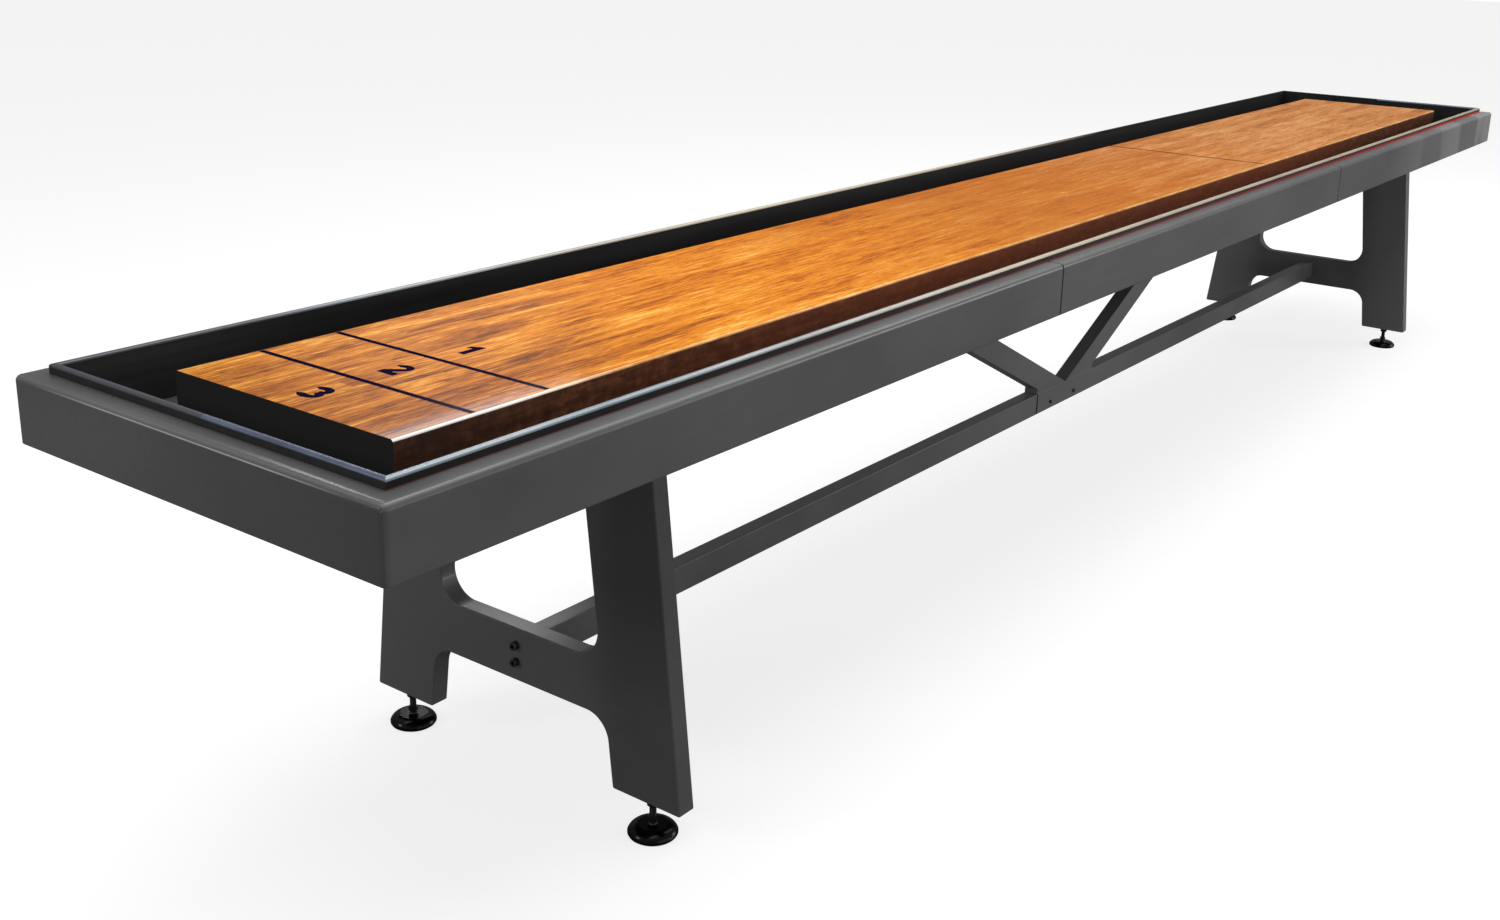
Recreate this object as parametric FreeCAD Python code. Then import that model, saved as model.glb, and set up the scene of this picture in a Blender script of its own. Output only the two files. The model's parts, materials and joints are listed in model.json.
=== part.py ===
import FreeCAD, Part
import os, math

# Long shuffleboard table: a lined trough with rails carries a maple board and stands
# on two H-shaped leg frames joined by a low stretcher with a V brace. Millimetres.
# +X runs along the table, +Y across it (front is -Y), +Z up. The origin is the
# centre of the footprint on the floor.

# ---------------------------------------------------------------- driving dimensions
LENGTH = 5486.4          # overall, eighteen feet
WIDTH = 844.0            # overall across the rails
RAIL_T = 38.0
RAIL_Z0, RAIL_Z1 = 711.0, 822.0
SEAM_X = 914.4           # rails and floor come in six-foot sections
SEAM_GAP = 1.4
FLOOR_Z0, FLOOR_Z1 = 730.0, 739.0
BOARD_Z0, BOARD_Z1 = 750.0, 826.0
LEG_X = 2091.0           # middle of each leg frame
LEG_T = 38.0
LEG_Z0 = 66.0
FOOT_Y = 303.0
STUD_R = 6.35
RUN = 0.05               # running clearance
ADJUSTER_X = (-1500.0, 0.0, 1500.0)

HALF_L, HALF_W = LENGTH / 2.0, WIDTH / 2.0
IN_X, IN_Y = HALF_L - RAIL_T, HALF_W - RAIL_T      # inner faces of the rails
LEG_IN, LEG_OUT = LEG_X - LEG_T / 2.0, LEG_X + LEG_T / 2.0

Vector = FreeCAD.Vector
ALONG, ACROSS, UP = Vector(1, 0, 0), Vector(0, 1, 0), Vector(0, 0, 1)
ENDS = (("left", -1), ("right", 1))
FACES = (("front", -1), ("back", 1))
pieces = {}


# ---------------------------------------------------------------- helpers
def box(x0, x1, y0, y1, z0, z1):
    """Box between two opposite corners; x and y may be given in either order."""
    corner = Vector(min(x0, x1), min(y0, y1), z0)
    return Part.makeBox(abs(x1 - x0), abs(y1 - y0), z1 - z0, corner)


def cylinder(x, y, z, radius, height, axis=UP):
    return Part.makeCylinder(radius, height, Vector(x, y, z), axis)


def prism(points, axis, depth):
    """Closed polygon swept along axis by depth."""
    wire = Part.makePolygon([Vector(*p) for p in points] + [Vector(*points[0])])
    return Part.Face(wire).extrude(axis * depth)


def slab(outline, z0, z1):
    """Outline of (x, y) points raised from z0 to z1."""
    return prism([(x, y, z0) for x, y in outline], UP, z1 - z0)


def hexagon(x, y, z, flats, height, axis=UP):
    """Hexagonal prism starting at the point, growing along axis."""
    radius = flats / math.sqrt(3.0)
    first = ALONG if abs(axis.dot(ALONG)) < 0.5 else ACROSS
    second = axis.cross(first)
    points = []
    for k in range(6):
        angle = math.radians(60 * k + 30)
        points.append(Vector(x, y, z) + first * (radius * math.cos(angle))
                      + second * (radius * math.sin(angle)))
    return Part.Face(Part.makePolygon(points + [points[0]])).extrude(axis * height)


def revolve(profile, x, y):
    """Closed (r, z) polygon turned about a vertical axis."""
    wire = Part.makePolygon([Vector(x + r, y, z) for r, z in profile + profile[:1]])
    return Part.Face(wire).revolve(Vector(x, y, 0), UP, 360)


def fillet(shape, radius, test):
    return shape.makeFillet(radius, [e for e in shape.Edges if test(e)])


def try_fillet(shape, radius, test):
    """Fillet the chosen edges, or leave them sharp if they can't be rolled."""
    try:
        return fillet(shape, radius, test)
    except Exception:
        return shape


def valid_fillet(shape, radius, test):
    """As try_fillet, but also leave the edges sharp if the result is not valid."""
    rounded = try_fillet(shape, radius, test)
    return rounded if rounded.isValid() else shape


def all_at(edge, axis, value):
    """True if the whole edge lies at one value of x, y or z."""
    b = edge.BoundBox
    low, high = {"x": (b.XMin, b.XMax), "y": (b.YMin, b.YMax), "z": (b.ZMin, b.ZMax)}[axis]
    return abs(low - value) < 0.01 and abs(high - value) < 0.01


def one(shape):
    """The single solid of a shape, or a flat compound of its solids."""
    solids = shape.Solids
    return solids[0] if len(solids) == 1 else Part.makeCompound(solids)


def drill(name, *tools):
    for tool in tools:
        pieces[name] = pieces[name].cut(tool)


def screw(start, axis, shank_r, shank_l, head_r, head_h, key, key_depth, rounding=0):
    """Hex-key screw: shank runs along axis from start, head lies behind start.

    Returns the screw and its plain shank, which serves as the drill."""
    start = Vector(*start)
    top = start - axis * head_h
    shank = Part.makeCylinder(shank_r, shank_l, start, axis)
    head = Part.makeCylinder(head_r, head_h, top, axis)
    if rounding:
        head = fillet(head, rounding, lambda e: abs((e.CenterOfMass - top).dot(axis)) < 0.01)
    socket = hexagon(top.x, top.y, top.z, key, key_depth, axis)
    return shank.fuse(head).removeSplitter().cut(socket), shank


def sections(end):
    """The three lengths between -end and end, parted at the seams."""
    gap = SEAM_GAP / 2
    return (("left", -end, -SEAM_X - gap),
            ("middle", -SEAM_X + gap, SEAM_X - gap),
            ("right", SEAM_X + gap, end))


# ---------------------------------------------------------------- rails
RAIL_R_TOP = 10.0        # outer top arris
RAIL_R_BOT = 3.0
RAIL_R_CORNER = 10.5     # vertical corner arris
SEAM_ARRIS = 1.6
BLOCK_LEG = 95           # short sides of the corner glue blocks

# The mitre cutters run a little inside and well outside the rails.
CUT_IN_X, CUT_IN_Y = IN_X - 1, IN_Y - 1
CUT_OUT_X, CUT_OUT_Y = HALF_L + 60, HALF_W + 60


def rail_ring():
    """All the rails as one frame, arrises rounded outside only."""
    ring = box(-HALF_L, HALF_L, -HALF_W, HALF_W, RAIL_Z0, RAIL_Z1)
    ring = fillet(ring, RAIL_R_CORNER, lambda e: e.BoundBox.ZLength > 100)
    ring = fillet(ring, RAIL_R_TOP, lambda e: all_at(e, "z", RAIL_Z1))
    ring = fillet(ring, RAIL_R_BOT, lambda e: all_at(e, "z", RAIL_Z0))
    return ring.cut(box(-IN_X, IN_X, -IN_Y, IN_Y, RAIL_Z0 - 5, RAIL_Z1 + 5))


def rail_part(ring, outline):
    return one(ring.common(slab(outline, RAIL_Z0 - 10, RAIL_Z1 + 10)))


def rail_cut(x):
    """Inner and outer x of a rail end: 45 degree mitre at a corner, square at a seam."""
    if abs(x) == HALF_L:
        side = 1 if x > 0 else -1
        return side * CUT_IN_X, side * CUT_OUT_X
    return x, x


def side_rail(ring, sign, x0, x1):
    y_out, y_in = sign * CUT_OUT_Y, sign * CUT_IN_Y
    (in0, out0), (in1, out1) = rail_cut(x0), rail_cut(x1)
    rail = rail_part(ring, [(in0, y_in), (out0, y_out), (out1, y_out), (in1, y_in)])
    seams = [x for x in (x0, x1) if abs(x) != HALF_L]

    def outer_seam_edge(e):
        b = e.BoundBox
        return (any(all_at(e, "x", x) for x in seams) and b.ZLength > 60
                and abs(b.YMax * sign - HALF_W) < 0.6)
    return try_fillet(rail, SEAM_ARRIS, outer_seam_edge)


rails = rail_ring()
for face, sign in FACES:
    for part, x0, x1 in sections(HALF_L):
        pieces["side_rail_%s_%s" % (face, part)] = side_rail(rails, sign, x0, x1)
for name, side in ENDS:
    x_out, x_in = side * CUT_OUT_X, side * CUT_IN_X
    pieces["end_rail_" + name] = rail_part(
        rails, [(x_in, -CUT_IN_Y), (x_out, -CUT_OUT_Y), (x_out, CUT_OUT_Y), (x_in, CUT_IN_Y)])

# triangular glue blocks under the floor in the four corners
pieces["corner_blocks"] = Part.makeCompound([
    slab([(side * IN_X, sign * IN_Y), (side * (IN_X - BLOCK_LEG), sign * IN_Y),
          (side * IN_X, sign * (IN_Y - BLOCK_LEG))], RAIL_Z0, FLOOR_Z0)
    for side in (-1, 1) for sign in (-1, 1)])

# ---------------------------------------------------------------- floor and bearers
WINDOW_X, WINDOW_Y = 34, 236         # half sizes of the adjuster opening
WINDOW_R = 8
BEARER_OUT, BEARER_IN = 34, 48       # leg bearer beyond each face of the leg frame
SPLICE_X0, SPLICE_X1 = 872, 1046     # splice bearer, under the floor seam


def floor_panel(x0, x1, window_x):
    window = box(window_x - WINDOW_X, window_x + WINDOW_X, -WINDOW_Y, WINDOW_Y,
                 FLOOR_Z0 - 5, FLOOR_Z1 + 5)
    window = fillet(window, WINDOW_R, lambda e: e.BoundBox.ZLength > 5)
    return box(x0, x1, -IN_Y, IN_Y, FLOOR_Z0, FLOOR_Z1).cut(window)


def bearer(x0, x1):
    return box(x0, x1, -IN_Y, IN_Y, RAIL_Z0, FLOOR_Z0)


for (part, x0, x1), adjuster_x in zip(sections(IN_X), ADJUSTER_X):
    pieces["floor_panel_" + part] = floor_panel(x0, x1, adjuster_x)
for name, side in ENDS:
    pieces["leg_bearer_" + name] = bearer(side * (LEG_OUT + BEARER_OUT),
                                          side * (LEG_IN - BEARER_IN))
    pieces["splice_bearer_" + name] = bearer(side * SPLICE_X0, side * SPLICE_X1)

# ---------------------------------------------------------------- gutter lining
LIP_Z = 838.0            # top of the gutter trim
LINER_T = 12.0
TRIM_H = 5.0
CARPET_T = 3.0
LINER_Z1 = LIP_Z - TRIM_H
GUTTER_X, GUTTER_Y = IN_X - LINER_T, IN_Y - LINER_T

# half of the domed trim section: distance in from the edge, height
TRIM_HALF = [(0.0, 0.0), (0.0, 1.6), (0.9, 3.2), (2.6, 4.4), (LINER_T / 2.0 - 1.2, TRIM_H)]
TRIM_SECTION = [(LINER_T - inset, h) for inset, h in TRIM_HALF] + TRIM_HALF[::-1]


def long_outline(sign):
    """Plan of the lining along one long side, mitred at both ends."""
    return [(-IN_X, sign * IN_Y), (IN_X, sign * IN_Y),
            (GUTTER_X, sign * GUTTER_Y), (-GUTTER_X, sign * GUTTER_Y)]


def end_outline(side):
    return [(side * IN_X, -IN_Y), (side * IN_X, IN_Y),
            (side * GUTTER_X, GUTTER_Y), (side * GUTTER_X, -GUTTER_Y)]


def mitred_trim(bar, outline):
    return bar.common(slab(outline, LINER_Z1 - 1, LINER_Z1 + 19))


trims = []
for name, sign in FACES:
    outline = long_outline(sign)
    pieces["gutter_liner_" + name] = slab(outline, FLOOR_Z1, LINER_Z1)
    bar = prism([(-HALF_L, sign * (IN_Y - inset), LINER_Z1 + h) for inset, h in TRIM_SECTION],
                ALONG, LENGTH)
    trims.append(mitred_trim(bar, outline))
for name, side in ENDS:
    outline = end_outline(side)
    pieces["gutter_liner_" + name] = slab(outline, FLOOR_Z1, LINER_Z1)
    bar = prism([(side * (IN_X - inset), -HALF_W, LINER_Z1 + h) for inset, h in TRIM_SECTION],
                ACROSS, WIDTH)
    trims.append(mitred_trim(bar, outline))
pieces["gutter_trim"] = Part.makeCompound(trims)

# ---------------------------------------------------------------- playing board
BOARD_L, BOARD_W = 5156.2, 500.0
BOARD_R = 6.0            # long top arrises
BOARD_R_BOT = 1.5
CARPET_TUCK = 8          # carpet reaches this far under the board
ZONE = 152.4             # depth of each scoring zone
FOUL = 1828.8            # foul line from the right board end
LINE_W, FOUL_W = 11.0, 4.0
INLAY_Z = BOARD_Z1 - 0.6
NUMERAL_H = 56.0
BED_X = (-2450, -1850, -1150, -450, 450, 1150, 1850, 2450)
BED_W, BED_HALF_L = 45, 240
BOARD_END = BOARD_L / 2


def carpet():
    edge_x, edge_y = BOARD_END - CARPET_TUCK, BOARD_W / 2 - CARPET_TUCK
    sheet = box(-GUTTER_X, GUTTER_X, -GUTTER_Y, GUTTER_Y, FLOOR_Z1, FLOOR_Z1 + CARPET_T)
    return sheet.cut(box(-edge_x, edge_x, -edge_y, edge_y, FLOOR_Z1 - 1, FLOOR_Z1 + 10))


def plain_board():
    board = box(-BOARD_END, BOARD_END, -BOARD_W / 2, BOARD_W / 2, BOARD_Z0, BOARD_Z1)
    board = fillet(board, BOARD_R,
                   lambda e: all_at(e, "z", BOARD_Z1) and e.BoundBox.XLength > 100)
    return fillet(board, BOARD_R_BOT, lambda e: all_at(e, "z", BOARD_Z0))


def line(x, width):
    half = BOARD_W / 2 - BOARD_R
    return box(x - width / 2, x + width / 2, -half, half, INLAY_Z, BOARD_Z1)


# Numeral outlines are (right, up) points about the numeral's centre.
def arc_stroke(centre_up, radius_right, radius_up, start, end, width, steps):
    """Curved stroke along an elliptical arc: outer points, then inner points back."""
    def point(k, offset):
        angle = math.radians(start + (end - start) * k / steps)
        return ((radius_right + offset) * math.cos(angle),
                centre_up + (radius_up + offset) * math.sin(angle))
    return ([point(k, width / 2) for k in range(steps + 1)]
            + [point(k, -width / 2) for k in range(steps, -1, -1)])


def three():
    """Two bowls sharing a bar."""
    half, width = NUMERAL_H / 2, 14.6
    upper = NUMERAL_H * 0.25 - width * 0.28
    lower = NUMERAL_H * 0.25 - width * 0.22
    return [arc_stroke(half - width / 2 - upper, 14.6, upper, 158, -80, width, 14),
            arc_stroke(-(half - width / 2 - lower), 16.4, lower, 80, -158, width, 16)]


def two():
    """A bowl, a leaning leg and a flat foot."""
    height, centre, width = NUMERAL_H - 2.5, 1.2, 13.2
    bowl_up, steps, left = 9.2, 14, -19.2
    bottom = centre - height / 2
    foot_top = bottom + width
    bowl = arc_stroke(centre + height / 2 - bowl_up - width / 2, 13.4, bowl_up,
                      168, -35, width, steps)
    leg = [bowl[steps], (0.5, foot_top - 0.5), (left, foot_top - 0.5),
           (-17.6, foot_top + 3.2), bowl[steps + 1]]
    foot = [(left, bottom), (18.8, bottom), (18.8, foot_top), (left, foot_top)]
    return [bowl, leg, foot]


def digit_one():
    """An upright and a short flag."""
    top = (NUMERAL_H - 5.0) / 2
    stem = [(-2.6, -top), (12.4, -top), (12.4, top), (3.6, top), (-2.6, top - 5.0)]
    flag = [(3.6, top), (-13.6, top - 10.0), (-13.6, top - 22.5),
            (1.5, top - 14.8), (6.5, top - 6.0)]
    return [stem, flag]


def numeral(outlines, zones):
    """Inlaid numeral, zones in from the left board end; it reads right along -Y, up along +X."""
    x = -BOARD_END + zones * ZONE
    shape = None
    for points in outlines:
        stroke = slab([(x + up, -right) for right, up in points], INLAY_Z, BOARD_Z1)
        shape = stroke if shape is None else shape.fuse(stroke)
    return one(shape.removeSplitter())


lines = [line(-BOARD_END + ZONE, LINE_W), line(-BOARD_END + 2 * ZONE, LINE_W),
         line(BOARD_END - FOUL, FOUL_W)]
numerals = [numeral(three(), 0.45), numeral(two(), 1.47), numeral(digit_one(), 2.47)]
pieces["gutter_carpet"] = carpet()
pieces["score_lines"] = Part.makeCompound(lines)
pieces["score_numerals"] = Part.makeCompound(numerals)
pieces["playfield_board"] = plain_board()
drill("playfield_board", *(lines + numerals))
pieces["board_bearers"] = Part.makeCompound([
    box(x - BED_W / 2, x + BED_W / 2, -BED_HALF_L, BED_HALF_L, FLOOR_Z1, BOARD_Z0)
    for x in BED_X])

# ---------------------------------------------------------------- climatic adjusters
ROD_R, ROD_Z, ROD_L = 5.0, 734.0, 436
ROD_Y = -212.1           # front end of the rod, behind its hexagon head
ROD_HEAD_H, ROD_HEAD_FLATS = 8, 17
PLATE_OUT, PLATE_IN = 212.0, 207.0   # upright plate of the bracket
PLATE_Z0 = 720
FLANGE_IN, FLANGE_T = 172.0, 4
BRACKET_HALF_W = 20
BRACKET_SCREW_X, BRACKET_SCREW_Y = 11, 188


def adjuster_bracket(x, sign):
    """Angle under the board; its screws also drill the board."""
    x0, x1 = x - BRACKET_HALF_W, x + BRACKET_HALF_W
    flange_z = BOARD_Z0 - FLANGE_T
    plate = box(x0, x1, sign * PLATE_OUT, sign * PLATE_IN, PLATE_Z0, BOARD_Z0)
    flange = box(x0, x1, sign * (PLATE_IN + 1), sign * FLANGE_IN, flange_z, BOARD_Z0)
    bracket = plate.fuse(flange).removeSplitter()
    bracket = bracket.cut(cylinder(x, -240, ROD_Z, ROD_R + RUN, 480, ACROSS))
    screws = []
    for offset in (-BRACKET_SCREW_X, BRACKET_SCREW_X):
        body, shank = screw((x + offset, sign * BRACKET_SCREW_Y, flange_z), UP, shank_r=2.4,
                            shank_l=26, head_r=4.6, head_h=3, key=3.2, key_depth=1.8)
        drill("playfield_board", shank)
        bracket = bracket.cut(shank)
        screws.append(body)
    return bracket, screws


adjuster_brackets, bracket_screws = [], []
for name, x in zip(("left", "middle", "right"), ADJUSTER_X):
    for sign in (-1, 1):
        bracket, screws = adjuster_bracket(x, sign)
        adjuster_brackets.append(bracket)
        bracket_screws += screws
    rod = cylinder(x, ROD_Y, ROD_Z, ROD_R, ROD_L, ACROSS)
    rod_head = hexagon(x, ROD_Y - ROD_HEAD_H, ROD_Z, ROD_HEAD_FLATS, ROD_HEAD_H, ACROSS)
    pieces["climatic_rod_" + name] = rod.fuse(rod_head).removeSplitter()
pieces["climatic_brackets"] = Part.makeCompound(adjuster_brackets)

# ---------------------------------------------------------------- leg frames
# half widths of the frame at its top (RAIL_Z0) and bottom (LEG_Z0)
LEG_OUTER = (305.0, 378.0)
LEG_INNER = (149.0, 227.0)
BAR_Z0, BAR_Z1 = 195.5, 297.5        # crossbar
BAR_R_TOP, BAR_R_BOT = 52, 50        # where the crossbar meets the legs
LEG_R_BOT, LEG_ARRIS = 4.5, 3.0

INSERT_R, INSERT_H = 11.0, 40
FLANGE_R, FLANGE_H = 15.0, 2
STUD_WELL_R = 8.0                    # clearance for the stud above the insert
NUT_FLATS, NUT_Z0, NUT_Z1 = 19, LEG_Z0 - 11, LEG_Z0 - 2.1
NUT_R, NUT_FACE_R, NUT_CHAMFER = 11.2, 9.6, 1.2


def trapezoid(x, depth, half_widths, z_first, z_second):
    """Slab in the taper of the legs, between two heights."""
    top, bottom = half_widths

    def half(z):
        return top + (bottom - top) * (RAIL_Z0 - z) / (RAIL_Z0 - LEG_Z0)
    return prism([(x, -half(z_first), z_first), (x, half(z_first), z_first),
                  (x, half(z_second), z_second), (x, -half(z_second), z_second)],
                 ALONG, depth)


def leg_frame(x):
    """H frame with its left face at x."""
    def crosswise_at(z):
        return lambda e: all_at(e, "z", z) and e.BoundBox.XLength > 20

    def face_arris(e):
        """Edges of the two faces, except at the bearing top."""
        b = e.BoundBox
        return b.XLength <= 0.01 and b.ZMin <= RAIL_Z0 - 1

    body = trapezoid(x, LEG_T, LEG_OUTER, RAIL_Z0, LEG_Z0)
    upper = trapezoid(x - 5, LEG_T + 10, LEG_INNER, RAIL_Z0 + 60, BAR_Z1)
    upper = fillet(upper, BAR_R_TOP, crosswise_at(BAR_Z1))
    lower = trapezoid(x - 5, LEG_T + 10, LEG_INNER, LEG_Z0 - 40, BAR_Z0)
    lower = fillet(lower, BAR_R_BOT, crosswise_at(BAR_Z0))
    body = one(body.cut(upper).cut(lower))
    body = fillet(body, LEG_R_BOT, crosswise_at(LEG_Z0))
    return one(try_fillet(body, LEG_ARRIS, face_arris))


def foot_insert(x, y):
    insert = cylinder(x, y, LEG_Z0, INSERT_R, INSERT_H)
    insert = insert.fuse(cylinder(x, y, LEG_Z0 - FLANGE_H, FLANGE_R, FLANGE_H))
    return insert.removeSplitter().cut(cylinder(x, y, LEG_Z0 - 5, STUD_R + RUN, 60))


def jam_nut(x, y):
    nut = hexagon(x, y, NUT_Z0, NUT_FLATS, NUT_Z1 - NUT_Z0)
    nut = nut.common(revolve([(0, NUT_Z0), (NUT_FACE_R, NUT_Z0),
                              (NUT_R, NUT_Z0 + NUT_CHAMFER), (NUT_R, NUT_Z1 - NUT_CHAMFER),
                              (NUT_FACE_R, NUT_Z1), (0, NUT_Z1)], x, y))
    return nut.cut(cylinder(x, y, LEG_Z0 - 20, STUD_R + RUN, 40))


inserts, jam_nuts = [], []
for name, side in ENDS:
    frame_name = "leg_frame_" + name
    pieces[frame_name] = leg_frame(side * LEG_X - LEG_T / 2.0)
    for sign in (-1, 1):
        x, y = side * LEG_X, sign * FOOT_Y
        drill(frame_name, cylinder(x, y, LEG_Z0 - 1, INSERT_R, INSERT_H + 1),
              cylinder(x, y, LEG_Z0 + INSERT_H - 1, STUD_WELL_R, 42))
        inserts.append(foot_insert(x, y))
        jam_nuts.append(jam_nut(x, y))
pieces["foot_inserts"] = Part.makeCompound(inserts)
pieces["foot_jam_nuts"] = Part.makeCompound(jam_nuts)

# ---------------------------------------------------------------- leg brackets
ANGLE_Y0, ANGLE_Y1 = 167.0, 287.0
ANGLE_T, ANGLE_LEG = 4, 40
ANGLE_SCREW_Y = (190.0, 264.0)
ANGLE_SCREW_DOWN = 24    # leg screws below the bearer
ANGLE_SCREW_IN = 26      # bearer screws in from the leg face
ANGLE_HEAD = dict(head_r=6.0, head_h=3.5, key=4, key_depth=2)


def leg_bracket(name, side, sign):
    """Steel angle holding a leg frame to its bearer, with its screws."""
    y0, y1 = sign * ANGLE_Y0, sign * ANGLE_Y1
    x_leg, x_plate = side * LEG_IN, side * (LEG_IN - ANGLE_T)
    angle = box(x_leg, x_plate, y0, y1, RAIL_Z0 - ANGLE_LEG, RAIL_Z0)
    angle = angle.fuse(box(x_leg, side * (LEG_IN - ANGLE_LEG), y0, y1,
                           RAIL_Z0 - ANGLE_T, RAIL_Z0)).removeSplitter()
    screws = []
    for y in ANGLE_SCREW_Y:
        into_leg, leg_shank = screw((x_plate, sign * y, RAIL_Z0 - ANGLE_SCREW_DOWN),
                                    ALONG * side, 3.0, 30, **ANGLE_HEAD)
        into_bearer, bearer_shank = screw(
            (side * (LEG_IN - ANGLE_SCREW_IN), sign * y, RAIL_Z0 - ANGLE_T),
            UP, 3.0, 20, **ANGLE_HEAD)
        angle = angle.cut(leg_shank).cut(bearer_shank)
        drill("leg_frame_" + name, leg_shank)
        drill("leg_bearer_" + name, bearer_shank)
        screws += [into_leg, into_bearer]
    return angle, screws


leg_brackets = []
for name, side in ENDS:
    for sign in (-1, 1):
        angle, screws = leg_bracket(name, side, sign)
        leg_brackets.append(angle)
        bracket_screws += screws
pieces["leg_brackets"] = Part.makeCompound(leg_brackets)
pieces["bracket_screws"] = Part.makeCompound(bracket_screws)

# ---------------------------------------------------------------- stretcher and brace
STR_Z0, STR_Z1 = 220.0, 278.0
STR_Y = 38.0 / 2.0       # half thickness
LAP = 165.0              # half length of the half-lap
LAP_GAP = 1.0            # end gap at the tip of each tongue
BRACE_SLOPE = 0.4877     # rise over run
BRACE_W = 60.0
BRACE_HEEL = 167.5       # half length of the V's foot on the stretcher

CAP_Z = (233.0, 265.0)
BARREL_IN, BARREL_R, BARREL_L = 44, 7.0, 28
LAP_SCREW_X, LAP_SCREW_Z = (-86.0, 55.0), 239.0
HEEL_X = 112.0
SUNK = 6                 # depth of the head wells under the stretcher
SPLICE_SCREWS = ((905.0, 676.0), (938.0, 690.0))     # x, z of the screw tip
BRACE_HEAD_R, BRACE_HEAD_H = 6.5, 4
BRACE_HEAD = dict(head_r=BRACE_HEAD_R, head_h=BRACE_HEAD_H, key=5, key_depth=2.4)


def stretcher(x0, x1, tongue_x0, tongue_x1, tongue_y, shoulder_x):
    """Half of the stretcher: full-section bar and a half-thickness tongue."""
    def long_arris(e):
        b = e.BoundBox
        outer = min(abs(b.YMin + STR_Y), abs(b.YMax - STR_Y)) < 0.01 and b.YLength < 0.01
        return b.XLength > 500 and outer

    def front_upright(e):
        return (all_at(e, "x", shoulder_x) and e.BoundBox.ZLength > 40
                and all_at(e, "y", -STR_Y))

    bar = box(x0, x1, -STR_Y, STR_Y, STR_Z0, STR_Z1)
    bar = bar.fuse(box(tongue_x0, tongue_x1, 0.0, tongue_y, STR_Z0, STR_Z1)).removeSplitter()
    return valid_fillet(valid_fillet(bar, 2.0, long_arris), 1.5, front_upright)


def brace_strut(side):
    """One arm of the V, from the stretcher up to the splice bearer and rails' underside."""
    drop = BRACE_W * math.sqrt(1 + BRACE_SLOPE ** 2)
    heel_z = STR_Z1 + BRACE_SLOPE * BRACE_HEEL - drop
    upper_x = (RAIL_Z0 - STR_Z1) / BRACE_SLOPE
    lower_x = (RAIL_Z0 - STR_Z1 + drop) / BRACE_SLOPE
    points = [(0, STR_Z1), (BRACE_HEEL, STR_Z1), (BRACE_HEEL, heel_z),
              (lower_x, RAIL_Z0), (upper_x, RAIL_Z0)]
    return prism([(side * x, -STR_Y, z) for x, z in points], ACROSS, 2 * STR_Y)


pieces["stretcher_left"] = stretcher(-LEG_IN, -LAP, -LAP - 1, LAP - LAP_GAP, STR_Y, -LAP)
pieces["stretcher_right"] = stretcher(LAP, LEG_IN, -LAP + LAP_GAP, LAP + 1, -STR_Y,
                                      -LAP + LAP_GAP)
for name, side in ENDS:
    pieces["brace_strut_" + name] = brace_strut(side)

# cap screws through each leg frame into barrel nuts in the stretcher
cap_screws, barrel_nuts = [], []
for name, side in ENDS:
    for z in CAP_Z:
        body, shank = screw((side * LEG_OUT, 0, z), ALONG * -side, shank_r=5.0,
                            shank_l=LEG_T + 62, head_r=8.0, head_h=10.0, key=8.0,
                            key_depth=5.5, rounding=1.2)
        nut = cylinder(side * (LEG_IN - BARREL_IN), -BARREL_L / 2, z, BARREL_R, BARREL_L,
                       ACROSS)
        drill("leg_frame_" + name, shank)
        drill("stretcher_" + name, nut, shank)
        barrel_nuts.append(nut.cut(shank))
        cap_screws.append(body)
pieces["leg_cap_screws"] = Part.makeCompound(cap_screws)
pieces["stretcher_barrel_nuts"] = Part.makeCompound(barrel_nuts)

# screws from the front through the half-lap
lap_screws = []
for x in LAP_SCREW_X:
    body, shank = screw((x, -STR_Y, LAP_SCREW_Z), ACROSS, shank_r=3.0, shank_l=32.0,
                        head_r=5.0, head_h=4.5, key=4.0, key_depth=2.475, rounding=1.2)
    lap_screws.append(body)
    drill("stretcher_left", shank)
    drill("stretcher_right", shank)
pieces["lap_screws"] = Part.makeCompound(lap_screws)

brace_screws = []
for name, side in ENDS:
    # up through the stretcher into the heel of the strut
    x = side * HEEL_X
    body, shank = screw((x, 0, STR_Z0 + SUNK), UP, 3.5, 82, **BRACE_HEAD)
    well = cylinder(x, 0, STR_Z0 - 1, 7.0, SUNK + 1)
    brace_screws.append(body)
    for half, _ in ENDS:
        drill("stretcher_" + half, shank, well)
    drill("brace_strut_" + name, shank)
    # down through the splice bearer into the top of the strut, heads flush
    head_z = FLOOR_Z0 - BRACE_HEAD_H
    for x, tip_z in SPLICE_SCREWS:
        body, shank = screw((side * x, 0, head_z), UP * -1, 3.5, head_z - tip_z, **BRACE_HEAD)
        recess = cylinder(side * x, 0, head_z, BRACE_HEAD_R, BRACE_HEAD_H)
        brace_screws.append(body)
        drill("splice_bearer_" + name, shank, recess)
        drill("brace_strut_" + name, shank)
pieces["brace_screws"] = Part.makeCompound(brace_screws)

# ---------------------------------------------------------------- levelling feet
PIVOT_Z, BALL_R = 15.5, 9.0          # swivel ball
PAD_H = 4.0
BASE_TOP = 20
BUSH_Z0, BUSH_Z1 = 9.0, 21.5
PIN_Z, PIN_R = 11.0, 4.0             # floor and radius of the blind bore
STUD_HEX_Z, SHANK_Z, STUD_Z1 = 26.0, 34.0, 112.0


def foot_pad(x, y):
    return revolve([(0, 0), (41.0, 0), (42.5, 1.2), (42.5, PAD_H), (0, PAD_H)], x, y)


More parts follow.
